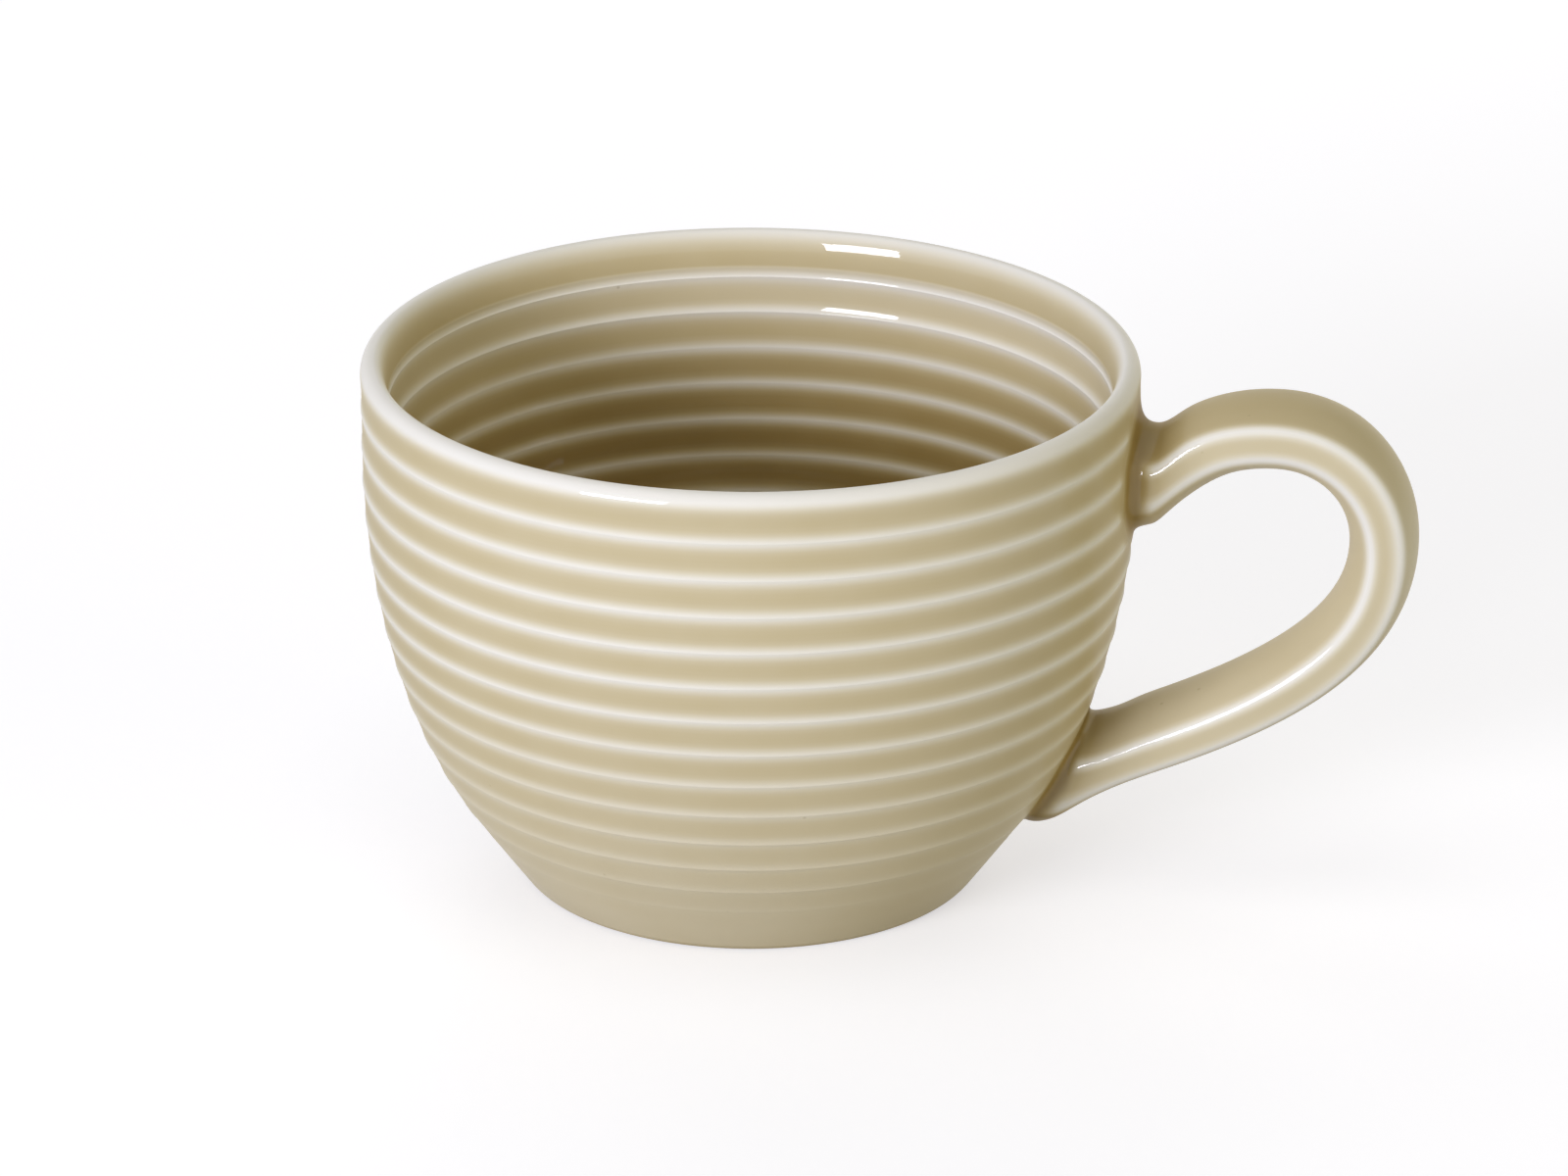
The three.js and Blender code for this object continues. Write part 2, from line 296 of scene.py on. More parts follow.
@cache
def glaze_skin_group() -> NodeTree:
    """Group: fired surface of a glaze, with faint ripples, pinholes and patches of duller gloss."""
    sheet, given = node_group(
        "glaze_skin",
        {"Haze": "Float", "Dulling": "Float", "Ripple Size": "Float", "Pinhole Spacing": "Float"},
        {"Roughness": "Float", "Height": "Float", "Pinholes": "Float"},
    )
    ripple_scale = sheet.math("DIVIDE", 1.0, given["Ripple Size"])
    ripples = sheet.noise(ripple_scale, detail=2.0)
    dull = sheet.noise(sheet.math("MULTIPLY", ripple_scale, DULL_SCALE), detail=4.0)
    rough = sheet.math("ADD", given["Haze"], sheet.math("MULTIPLY", dull, given["Dulling"]))
    place = sheet.add("TexCoord").outputs["Object"]
    cell_scale = sheet.math("DIVIDE", 1.0, given["Pinhole Spacing"])
    cells = sheet.add("TexVoronoi", {"Vector": place, "Scale": cell_scale}).outputs
    chance = sheet.add("SeparateColor", {"Color": cells["Color"]}).outputs["Red"]
    chosen = sheet.math("GREATER_THAN", chance, PINHOLE_FREE)
    dot = sheet.ramp(cells["Distance"], PINHOLE_MIDDLE, PINHOLE_RIM, 1.0, 0.0)
    pinholes = sheet.math("MULTIPLY", dot, chosen)
    height = sheet.math("SUBTRACT", ripples, pinholes)
    sheet.add("NodeGroupOutput", {"Roughness": rough, "Height": height, "Pinholes": pinholes})
    return sheet.tree


@dataclass(frozen=True)
class Glaze:
    """Translucent coloured glaze on white porcelain. It pools in hollows and thins over edges, and its
    stored thickness also carries painted light and shade.

    Its coat is whole up to the slant full_coat_to, and from the slant slanting_from on it is slanting_coat.
    """

    name: str
    clay: Colour = (0.83, 0.815, 0.785)
    tint: Colour = (0.655, 0.56, 0.35)
    unevenness: float = 0.16
    patch_size: float = 6 * MM
    haze: float = 0.36
    dulling: float = 0.08
    gloss: float = 0.03
    base_ior: float = 1.5
    base_specular: float = 0.02
    coat_ior: float = 1.45
    full_coat_to: float = 0.12
    slanting_from: float = 0.55
    slanting_coat: float = 0.08
    ripple_size: float = 1.6 * MM
    ripple_depth: float = 0.004 * MM
    pinhole_spacing: float = 3.4 * MM
    pinhole_colour: Colour = (0.33, 0.25, 0.13)
    pinhole_strength: float = 0.35

    def material(self) -> Material:
        """Make the material, whose colour follows the thickness stored on the mesh.

        Returns:
            The material.
        """
        material, sheet = blank_material(self.name)
        thickness = sheet.add("Attribute", attribute_name=GLAZE_AND_SHADING_ATTRIBUTE).outputs["Fac"]
        layer = {"Thickness": thickness, "Clay": (*self.clay, 1), "Tint": (*self.tint, 1)}
        patches = {"Unevenness": self.unevenness, "Patch Size": self.patch_size}
        colour = sheet.add("Group", layer | patches, node_tree=clay_under_glaze_group()).outputs["Color"]
        gloss = {"Haze": self.haze, "Dulling": self.dulling}
        relief = {"Ripple Size": self.ripple_size, "Pinhole Spacing": self.pinhole_spacing}
        skin = sheet.add("Group", gloss | relief, node_tree=glaze_skin_group()).outputs
        speck = sheet.math("MULTIPLY", skin["Pinholes"], self.pinhole_strength)
        bump = sheet.add("Bump", {"Height": skin["Height"], "Distance": self.ripple_depth})
        slant = sheet.add("LayerWeight").outputs["Facing"]
        coat = sheet.ramp(slant, self.full_coat_to, self.slanting_from, 1.0, self.slanting_coat)
        shader = sheet.add(
            "BsdfPrincipled",
            {
                "Base Color": sheet.mix(speck, colour, (*self.pinhole_colour, 1)),
                "Roughness": skin["Roughness"],
                "Normal": bump.outputs["Normal"],
                "IOR": self.base_ior,
                "Specular IOR Level": self.base_specular,
                "Coat Weight": coat,
                "Coat Roughness": self.gloss,
                "Coat IOR": self.coat_ior,
            },
        )
        sheet.add("OutputMaterial", {"Surface": shader.outputs[0]})
        return material


@dataclass(frozen=True)
class BareClay:
    """Fired porcelain without glaze, ground smooth where the cup stands."""

    name: str
    colour: Colour = (0.78, 0.75, 0.68)
    worn_colour: Colour = (0.62, 0.57, 0.48)
    grain_size: float = 0.35 * MM
    grain_depth: float = 0.01 * MM
    roughness: float = 0.62

    def material(self) -> Material:
        """Make the material."""
        material, sheet = blank_material(self.name)
        grain = sheet.noise(1 / self.grain_size, detail=5.0)
        colour = sheet.mix(grain, (*self.colour, 1), (*self.worn_colour, 1))
        bump = sheet.add("Bump", {"Height": grain, "Distance": self.grain_depth})
        shader = sheet.add(
            "BsdfPrincipled",
            {"Base Color": colour, "Roughness": self.roughness, "Normal": bump.outputs["Normal"]},
        )
        sheet.add("OutputMaterial", {"Surface": shader.outputs[0]})
        return material


@dataclass
class Line:
    """A line in an upright plane that can be followed by its length."""

    points: Array
    reach: Array = field(init=False)

    def __post_init__(self) -> None:
        """Measure the line."""
        steps = np.linalg.norm(np.diff(self.points, axis=0), axis=1)
        self.reach = np.concatenate([[0], np.cumsum(steps)])

    @property
    def length(self) -> float:
        """The line's whole length."""
        return float(self.reach[-1])

    def at(self, along: Array) -> Array:
        """Points of the line, at lengths from its start."""
        return np.stack([np.interp(along, self.reach, self.points[:, i]) for i in (0, 1)], axis=1)


@dataclass
class Wall(Line):
    """A wall's smooth line in (radius, height), from the lip down."""

    side: Side

    def inward(self, along: Array) -> Array:
        """Directions into the clay, square to the line, at lengths from the lip."""
        nudge = self.length * SLOPE_STEP
        run = self.at(np.minimum(along + nudge, self.length)) - self.at(np.maximum(along - nudge, 0))
        run /= np.linalg.norm(run, axis=1, keepdims=True)
        return np.stack([run[:, 1], -run[:, 0]], axis=1) * self.side.value


@dataclass
class Stretch:
    """Part of the line that the bowl is turned from."""

    line: Array
    glaze: Array | None = None
    cut: Array | None = None
    bare: bool = False

    def __post_init__(self) -> None:
        """Unless it is told otherwise, a stretch has whole glaze and no cut."""
        if self.glaze is None:
            self.glaze = np.ones(len(self.line))
        if self.cut is None:
            self.cut = np.zeros_like(self.line)


@dataclass(frozen=True)
class FlutedSide:
    """How one side of the wall is fluted and glazed.

    The crests' and the shading ramp's lengths run down the wall from the lip's base, lip_white from the
    lip's top. The glaze ramp from upper to lower is partly real pooling and partly painted light and shade.
    """

    side: Side
    lip_height: float
    relief: float
    deep_relief: float
    flatness: float
    crests_whole_to: float
    crests_gone_at: float
    upper_glaze_and_shading: float
    lower_glaze_and_shading: float
    shading_from: float
    shading_to: float
    lip_white: float
    lip_fade: float

    def whitened(self, off_top: Array) -> Array:
        """How far the glaze has run off, from 1 to 0, at lengths along the surface from the lip's top."""
        return np.exp(-((np.maximum(off_top - self.lip_white, 0) / self.lip_fade) ** 2))


@dataclass
class Bowl:
    """The ribbed bowl, with its lip and its hollow foot."""

    axis_x: float
    rim_radius: float
    height: float
    lip_rise: float = 1.25 * MM
    straight_band: float = 8.1 * MM
    belly_draw: float = 19.65 * MM
    taper_height: float = 7 * MM
    lip_thickness: float = 2.3 * MM
    floor_height: float = 4.2 * MM
    inner_draw: float = 19 * MM
    rib_pitch: float = 3.25 * MM
    first_rib: float = 2.85 * MM
    rib_end: float = 2.5 * MM
    rib_fade: float = 12 * MM
    crest_width: float = 0.68 * MM
    crest_glaze: float = 0.15
    lip_glaze: float = 0.08
    # Outside: glaze thinning towards the foot, painted light on the down-facing lower wall.
    outer: FlutedSide = FlutedSide(
        Side.OUTSIDE, lip_height=1.25 * MM, relief=0.1 * MM, deep_relief=0.1 * MM, flatness=5,
        crests_whole_to=15 * MM, crests_gone_at=48 * MM, upper_glaze_and_shading=1, lower_glaze_and_shading=0.74,
        shading_from=22 * MM, shading_to=44 * MM, lip_white=1.2 * MM, lip_fade=0.85 * MM,
    )
    # Inside: glaze thin under the lip and thick towards the floor, partly real pooling and partly painted
    # light under the lip and painted shade towards the floor.
    inner: FlutedSide = FlutedSide(
        Side.INSIDE, lip_height=3.2 * MM, relief=0.24 * MM, deep_relief=0.06 * MM, flatness=3.5,
        crests_whole_to=17 * MM, crests_gone_at=52 * MM, upper_glaze_and_shading=0.7, lower_glaze_and_shading=2.25,
        shading_from=1 * MM, shading_to=20 * MM, lip_white=0.2 * MM, lip_fade=1.3 * MM,
    )
    level_from: float = 5 * MM
    level_to: float = 10 * MM
    foot_round: float = 0.6 * MM
    foot_ring: float = 2.4 * MM
    shoulder_share: float = 0.3
    recess_depth: float = 1.6 * MM
    recess_slope: float = 1 * MM
    hub_share: float = 0.04
    flute_steps: int = 12
    lip_steps: int = 24
    recess_steps: int = 12
    bend_steps: int = 10
    ring_steps: int = 8
    floor_steps: int = 14
    turn_steps: int = 208
    turn_crowding: float = 0.6

    @classmethod
    def from_frame(cls) -> "Bowl":
        """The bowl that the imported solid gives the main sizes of."""
        low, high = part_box("cup_body")
        radius = (high.y - low.y) / 2
        return cls(axis_x=low.x + radius, rim_radius=radius, height=high.z)

    @property
    def lip_base(self) -> float:
        """Height at which the wall ends and the lip's round starts."""
        return self.height - self.lip_rise

    @property
    def belly_top(self) -> float:
        """Height at which the upright band ends."""
        return self.height - self.straight_band

    def outer_radius(self, height: Array | float) -> Array:
        """Radius of the smooth outer wall, over the crests, at heights above the standing face."""
        height = np.asarray(height, float)
        deepest = 1 - self.taper_height / self.belly_top
        depth = np.clip((self.belly_top - height) / self.belly_top, 0, deepest)
        rise = np.sqrt(1 - depth**2)
        slope = self.belly_draw * depth / (self.belly_top * rise)
        belly = self.rim_radius - self.belly_draw * (1 - rise)
        return belly - slope * np.maximum(0, self.taper_height - height)

    def outer_wall(self) -> Wall:
        """The outer wall's line, from the lip's base to the foot's round."""
        heights = np.linspace(self.lip_base, self.foot_round, WALL_SAMPLES)
        return Wall(np.stack([self.outer_radius(heights), heights], axis=1), Side.OUTSIDE)

    def inner_wall(self) -> Wall:
        """The inner wall's line, from the lip's base to the edge of the floor."""
        angle = np.linspace(0, np.pi / 2, WALL_SAMPLES)
        radius = self.rim_radius - self.lip_thickness - self.inner_draw * (1 - np.cos(angle))
        drop = (self.lip_base - self.floor_height) * np.sin(angle)
        return Wall(np.stack([radius, self.lip_base - drop], axis=1), Side.INSIDE)

    def lip_quarter(self, finish: FlutedSide) -> Wall:
        """Half of the lip's round, from its top down one side of it."""
        angle = np.linspace(0, np.pi / 2, self.lip_steps + 1)
        half = self.lip_thickness / 2
        radius = self.rim_radius - half + half * np.sin(angle) * finish.side.value
        height = self.height - finish.lip_height * (1 - np.cos(angle))
        return Wall(np.stack([radius, height], axis=1), finish.side)

    def fluted(self, wall: Wall, finish: FlutedSide) -> Stretch:
        """A wall with its ribs: shallow flutes that meet in crests.

        Args:
            wall: The smooth line over the crests.
            finish: How the flutes and their glaze are.

        Returns:
            The stretch, from the lip down.
        """
        first = finish.lip_height - self.lip_rise
        last = wall.length - self.rib_end
        crests = np.concatenate([[first], np.arange(self.first_rib, last, self.rib_pitch)])
        share = crowded(self.flute_steps)
        along = (crests[:-1, None] + np.diff(crests)[:, None] * share).ravel()
        across = np.tile(share, len(crests) - 1)
        tail = np.linspace(crests[-1], wall.length, self.flute_steps)
        along = np.concatenate([along, tail])
        across = np.concatenate([across, np.zeros(len(tail))])
        fade = smoothstep(last - along, 0, self.rib_fade)
        hollow = 1 - np.abs(2 * across - 1) ** finish.flatness
        by_lip = (along < crests[1]) & (across < 0.5)
        hollow = np.where(by_lip, smoothstep(across, 0, 0.5), hollow)
        levelled = smoothstep(along, self.level_from, self.level_to)
        relief = finish.relief + (finish.deep_relief - finish.relief) * levelled
        relief = np.where(along < crests[1], relief * (crests[1] - first) / self.rib_pitch, relief)
        cut = wall.inward(along) * (relief * fade * hollow)[:, None]
        off_crest = np.min(np.abs(along[:, None] - crests[None, 1:]), axis=1)
        strength = 1 - smoothstep(along, finish.crests_whole_to, finish.crests_gone_at)
        white = (1 - self.crest_glaze) * strength * np.exp(-((off_crest / self.crest_width) ** 2))
        off_top = self.lip_quarter(finish).length + along - first
        white = np.maximum(white, (1 - self.lip_glaze) * finish.whitened(off_top))
        # Glaze ramp down the wall: inside, partly real pooling and partly painted shade darkening towards
        # the floor; outside, painted light lightening towards the foot.
        pool_and_shading = smoothstep(along, finish.shading_from, finish.shading_to)
        thickness = finish.upper_glaze_and_shading + (finish.lower_glaze_and_shading - finish.upper_glaze_and_shading) * pool_and_shading
        return Stretch(wall.at(along), (1 - white) * thickness, cut)

    def lip(self) -> Stretch:
        """The lip, glazed thinly over its top, from the outer wall to the inner one."""
        lines, glazes = [], []
        for finish in (self.outer, self.inner):
            quarter = self.lip_quarter(finish)
            lines.append(quarter.points[:-1])
            glazes.append(1 - (1 - self.lip_glaze) * finish.whitened(quarter.reach[:-1]))
        line = np.concatenate([lines[0][:0:-1], lines[1]])
        return Stretch(line, np.concatenate([glazes[0][:0:-1], glazes[1]]))

    def foot(self) -> list[Stretch]:
        """The foot from the middle of its hollow to the outer wall: hollow, bare ring and round."""
        foot_radius = float(self.outer_radius(0))
        ring_outer = foot_radius - self.foot_round
        ring_inner = ring_outer - self.foot_ring
        hollow_edge = ring_inner - self.recess_slope
        middle = [hollow_edge * self.hub_share, self.recess_depth]
        corner = np.array([hollow_edge, self.recess_depth])
        wall_end = [float(self.outer_radius(self.foot_round)), self.foot_round]
        share = np.linspace(0, 1, self.bend_steps)
        flat = np.linspace(middle, corner - [self.recess_slope, 0], self.recess_steps)
        bend = bezier(np.array([flat[-1], corner, (corner + [ring_inner, 0]) / 2]), share)[1:]
        ring_start = [ring_inner + self.shoulder_share * self.foot_ring, 0]
        shoulder = bezier(np.array([bend[-1], [ring_inner, 0], ring_start]), share)[1:]
        ring = np.linspace(shoulder[-1], [ring_outer, 0], self.ring_steps)[1:]
        turn_up = bezier(np.array([ring[-1], [foot_radius, 0], wall_end]), share)[1:-1]
        hollow = np.concatenate([flat, bend, shoulder])
        return [Stretch(hollow), Stretch(ring, bare=True), Stretch(turn_up)]

    def profile(self) -> list[Stretch]:
        """The whole line that is turned, from under the foot, over the lip, to the middle of the floor."""
        outer = self.fluted(self.outer_wall(), self.outer)
        inner = self.fluted(self.inner_wall(), self.inner)
        edge = inner.line[-1]
        floor = np.linspace(edge, [edge[0] * self.hub_share, edge[1]], self.floor_steps)[1:]
        return [
            *self.foot(),
            Stretch(outer.line[::-1], outer.glaze[::-1], outer.cut[::-1]),
            self.lip(),
            inner,
            Stretch(floor, np.full(len(floor), self.inner.lower_glaze_and_shading)),
        ]

    def build(self, slips: list["JointSlip"]) -> Object:
        """Turn the bowl.

        Args:
            slips: The slips on its wall, under which the flutes are filled.

        Returns:
            The piece, with the bare ring's faces in its second material slot.
        """
        stretches = self.profile()
        line = np.concatenate([part.line for part in stretches])
        cut = np.concatenate([part.cut for part in stretches])
        glaze = np.concatenate([part.glaze for part in stretches])
        bare = np.concatenate([np.full(len(part.line), part.bare) for part in stretches])
        turn = np.linspace(0, 2 * np.pi, self.turn_steps, endpoint=False)
        angle = turn - self.turn_crowding * np.sin(turn)
        outside = np.arange(len(line)) < len(line) - len(stretches[-1].line) - len(stretches[-2].line)
        across = line[:, :1] * np.sin(angle)
        height = np.repeat(line[:, 1:], self.turn_steps, axis=1)
        on_wall = outside[:, None] & (np.cos(angle) > 0)
        covered = np.zeros_like(across)
        pool_and_shading = np.zeros_like(across)
        # Glaze pooled round each slip, partly painted shade along the joint.
        for slip in slips:
            beyond = slip.beyond_edge(across, height)
            covered = np.maximum(covered, on_wall * slip.filled(beyond))
            pool_and_shading = np.maximum(pool_and_shading, on_wall * slip.pool_and_shading(beyond))
        radius = line[:, :1] + cut[:, :1] * (1 - covered)
        height = line[:, 1:] + cut[:, 1:] * (1 - covered)
        rings = np.stack([self.axis_x + radius * np.cos(angle), radius * np.sin(angle), height], axis=2)
        hubs = tuple(np.array([self.axis_x, 0, level]) for level in (line[0, 1], line[-1, 1]))
        mesh = skin_mesh("glazed_bowl", rings, hubs)
        thickness = glaze[:, None] * (1 - covered) + covered + pool_and_shading
        set_glaze(mesh, np.concatenate([thickness.ravel(), [glaze[0], glaze[-1]]]))
        self.mark_bare(mesh, bare)
        return placed(mesh)

    def mark_bare(self, mesh: Mesh, bare: Array) -> None:
        """Give the faces between bare rings of vertices the second material slot."""
        slots = np.zeros(len(mesh.polygons), np.int32)
        bands = np.repeat(bare[:-1] & bare[1:], self.turn_steps)
        slots[: len(bands)] = bands
        mesh.polygons.foreach_set("material_index", slots)

    def dress(self, piece: Object, glaze: Glaze, clay: BareClay) -> None:
        """Glaze the bowl, and leave its standing ring as bare clay."""
        piece.data.materials.append(glaze.material())
        piece.data.materials.append(clay.material())
        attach(piece, BODY)
        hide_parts("cup_body")


@dataclass(frozen=True)
class JointFace:
    """Where one end of the handle spreads to a face just off the wall. Its tilt is in degrees."""

    end: End
    height: float
    standoff: float
    back: float
    inner: float
    tilt: float
    spread: float
    back_spread: float
    inner_spread: float
    fillet: float
    back_fillet: float
    side_fillet: float = 0.7 * MM
    edge_hold: float = 0.0
    flare_power: float = 2.5

    def weight(self, to_joint: float) -> float:
        """How far the strap has turned into the face, from 1 on it to 0 at the spread's length from it."""
        return 1 - float(smoothstep(to_joint, 0, self.spread))

    def flare(self, to_joint: float, spread: float) -> float:
        """How far the strap has spread, from 1 on the face, where it is steepest, to 0."""
        return max(0.0, 1 - to_joint / spread) ** self.flare_power

    @property
    def direction(self) -> Array:
        """Way that the strap's back faces on the joint's face, in (x, height)."""
        lean = math.radians(self.tilt)
        return np.array([math.sin(lean), math.cos(lean)]) * self.end.value


@dataclass
class StrapHandle:
    """The looped strap, with a crowned back, a crowned inner face and narrow hollow sides.

    Its rises are in degrees. Its pulls are how far its curves' inner control points lie from their ends.
    """

    bowl: Bowl
    reach: float = 21.5 * MM
    reach_drop: float = 13.8 * MM
    top_reach: float = 11.8 * MM
    top_drop: float = 3.95 * MM
    upper_rise: float = 36.0
    lower_rise: float = 20.5
    back_half_width: float = 4.95 * MM
    inner_half_width: float = 5.2 * MM
    side_height: float = 2.85 * MM
    side_hollow: float = 0.15 * MM
    back_crown: float = 1 * MM
    inner_crown: float = 2 * MM
    upper_pull: float = 2.4 * MM
    top_pull_in: float = 6 * MM
    top_pull_out: float = 5.7 * MM
    reach_pull_in: float = 5.4 * MM
    reach_pull_out: float = 10.3 * MM
    lower_pull: float = 15.5 * MM
    joint_widening: float = 1.06
    edge_round: float = 0.9 * MM
    edge_white: float = 0.2 * MM
    edge_fade: float = 0.5 * MM
    edge_glaze: float = 0.06
    back_glaze_and_shade: float = 1.2
    side_glaze: float = 0.82
    inner_glaze_and_light: float = 0.8
    root_pool_and_shade: float = 0.5
    root_pool_and_shade_length: float = 1.8 * MM
    bend_thinning_and_light: float = 0.55
    bend_length: float = 9 * MM
    steps: int = 118
    sponge_passes: int = 6
    crown_steps: int = 20
    side_steps: int = 8
    round_steps: int = 7

    @property
    def joints(self) -> tuple[JointFace, JointFace]:
        """The upper and the lower joint's faces."""
        upper = JointFace(
            End.UPPER, height=self.bowl.height - 8 * MM, standoff=2 * MM, back=3.3 * MM, inner=4.85 * MM,
            tilt=0, spread=7 * MM, back_spread=8 * MM, inner_spread=5.5 * MM, fillet=1.8 * MM,
            back_fillet=2.8 * MM, edge_hold=0.9,
        )
        lower = JointFace(
            End.LOWER, height=11.1 * MM, standoff=1.5 * MM, back=5.2 * MM, inner=4.05 * MM,
            tilt=18, spread=9 * MM, back_spread=7 * MM, inner_spread=6 * MM, fillet=1.6 * MM,
            back_fillet=0.6 * MM,
        )
        return upper, lower

    def joint_centre(self, joint: JointFace) -> Array:
        """Where the centreline ends at a joint, in (x from the bowl's axis, height)."""
        return np.array([float(self.bowl.outer_radius(joint.height)) + joint.standoff, joint.height])

    def curves(self) -> list[Array]:
        """Control points of the centreline's three curves: upper arm, bend and lower arm.

        Returns:
            Rows of (x from the bowl's axis, height) for each curve.
        """
        upper, lower = (self.joint_centre(joint) for joint in self.joints)
        rim, height = self.bowl.rim_radius, self.bowl.height
        top = np.array([rim + self.top_reach, height - self.top_drop])
        outermost = np.array([rim + self.reach, height - self.reach_drop])

        def pulled(start: Array, angle: float, length: float) -> Array:
            """A point at a length from another, at an angle in degrees."""
            turn = math.radians(angle)
            return start + length * np.array([math.cos(turn), math.sin(turn)])

        arms = (
            (upper, (self.upper_rise, self.upper_pull), (180, self.top_pull_in), top),
            (top, (0, self.top_pull_out), (90, self.reach_pull_in), outermost),
            (outermost, (-90, self.reach_pull_out), (self.lower_rise, self.lower_pull), lower),
        )
        return [
            np.array([start, pulled(start, *leaving), pulled(end, *arriving), end])
            for start, leaving, arriving, end in arms
        ]

    def centreline(self) -> tuple[Array, Array, Array]:
        """The centreline from the upper joint to the lower one.

        Returns:
            Its points, its directions, and the length up to each point.
        """
        share = np.linspace(0, 1, CURVE_SAMPLES)
        line = Line(np.concatenate([bezier(controls, share) for controls in self.curves()]))
        along = np.linspace(0, line.length, self.steps + 1)
        points = line.at(along)
        slopes = np.gradient(points, axis=0)
        return points, slopes / np.linalg.norm(slopes, axis=1, keepdims=True), along

    def section(self) -> tuple[Array, Array]:
        """The strap's section, once round.

        Returns:
            Rows of (out, across), out being away from the finger gap, and the glaze's thickness at each,
            thicker on the back partly as painted shade and thinner on the inner face partly as painted
            light.
        """
        half_side = self.side_height / 2
        half_width = (self.back_half_width + self.inner_half_width) / 2 - self.side_hollow
        corners = np.array([
            [half_side, self.back_half_width], [half_side, -self.back_half_width],
            [-half_side, -self.inner_half_width], [-half_side, self.inner_half_width],
        ])
        middles = np.array([
            [half_side + 2 * self.back_crown, 0], [0, -half_width],
            [-half_side - 2 * self.inner_crown, 0], [0, half_width],
        ])
        next_corners = np.roll(corners, -1, axis=0)
        faces = []
        counts = (self.crown_steps, self.side_steps) * 2
        for start, middle, end, count in zip(corners, middles, next_corners, counts):
            trim = self.edge_round / np.linalg.norm(end - start)
            faces.append(bezier(np.array([start, middle, end]), np.linspace(trim, 1 - trim, count)))
        share = np.linspace(0, 1, self.round_steps)[1:-1]
        outline = []
        for face, corner, following in zip(faces, next_corners, faces[1:] + faces[:1]):
            outline.extend([face, bezier(np.array([face[-1], corner, following[0]]), share)])
        points = np.concatenate(outline)
        off_edges = np.linalg.norm(points[:, None] - corners[None], axis=2)
        off_white = np.maximum(off_edges - self.edge_white, 0) / self.edge_fade
        white = (1 - self.edge_glaze) * np.exp(-(off_white**2))
        by_height = [-half_side, -half_side / 2, half_side / 2, half_side]
        # Glaze by face: the back's thicker glaze is partly painted shade, the inner face's thinner glaze
        # partly painted light.
        faces_glaze_and_shading = [self.inner_glaze_and_light, self.side_glaze, self.side_glaze, self.back_glaze_and_shade]
        return points, np.prod(1 - white, axis=1) * np.interp(points[:, 0], by_height, faces_glaze_and_shading)

    def ring(self, centre: Array, run: Array, joint: JointFace, to_joint: float) -> Array:
        """The section set at a point of the centreline. Towards a joint it turns into the joint's face.

        Args:
            centre: The point, in (x from the bowl's axis, height).
            run: The centreline's direction there.
            joint: The nearer joint.
            to_joint: Length along the centreline to that joint.

        Returns:
            Rows of (x, y, z).
        """
        points, _ = self.section()
        weight = joint.weight(to_joint)
        out = np.array([-run[1], run[0]]) * (1 - weight) + joint.direction * weight
        out /= np.linalg.norm(out)
        back_growth = joint.back / (self.side_height / 2 + self.back_crown) - 1
        inner_growth = joint.inner / (self.side_height / 2 + self.inner_crown) - 1
        held = joint.edge_hold * (points[:, 1] / self.inner_half_width) ** 2
        back = 1 + back_growth * joint.flare(to_joint, joint.back_spread) * (1 - held)
        inner = 1 + inner_growth * joint.flare(to_joint, joint.inner_spread)
        away = points[:, 0] * np.where(points[:, 0] > 0, back, inner)
        return np.stack([
            self.bowl.axis_x + centre[0] + out[0] * away,
            points[:, 1] * (1 + (self.joint_widening - 1) * weight),
            centre[1] + out[1] * away,
        ], axis=1)

    def rings(self) -> Array:
        """The strap's skin in rings, from the upper joint to the lower one."""
        points, runs, along = self.centreline()
        upper, lower = self.joints
        rings = []
        for point, run, reach in zip(points, runs, along):
            joint = upper if reach < along[-1] / 2 else lower
            rings.append(self.ring(point, run, joint, min(reach, along[-1] - reach)))
        return np.array(rings)

    def build(self, rings: Array, normals: Array) -> Object:
        """Make the strap, with glaze pooled by its roots, partly as painted shade, and painted light with
        thinner glaze on the back of its bend.

        Args:
            rings: Its skin in rings, from the upper joint to the lower one.
            normals: Normals of the rings, which carry on those of the slip at both ends.

        Returns:
            The piece.
        """
        section, glaze = self.section()
        points, _, along = self.centreline()
        # Glaze pooled by the roots, partly painted shade in the creases.
        pool_and_shading = 1 + self.root_pool_and_shade * np.exp(-np.minimum(along, along[-1] - along) / self.root_pool_and_shade_length)
        # Painted light on the back of the bend, with thinner glaze there.
        off_bend = along - along[np.argmax(points[:, 0])]
        thinned_and_lit = self.bend_thinning_and_light * np.exp(-((off_bend / self.bend_length) ** 2))
        on_back = np.clip(section[:, 0] / (self.side_height / 2), 0, 1)
        thickness = glaze * pool_and_shading[:, None] * (1 - thinned_and_lit[:, None] * on_back)
        return glazed_loft("strap_handle", rings, normals, thickness, np.array([TO_WALL, TO_WALL]))

    def dress(self, piece: Object, glaze: Glaze) -> None:
        """Glaze the strap."""
        piece.data.materials.append(glaze.material())
        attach(piece, BODY)
        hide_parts("handle")


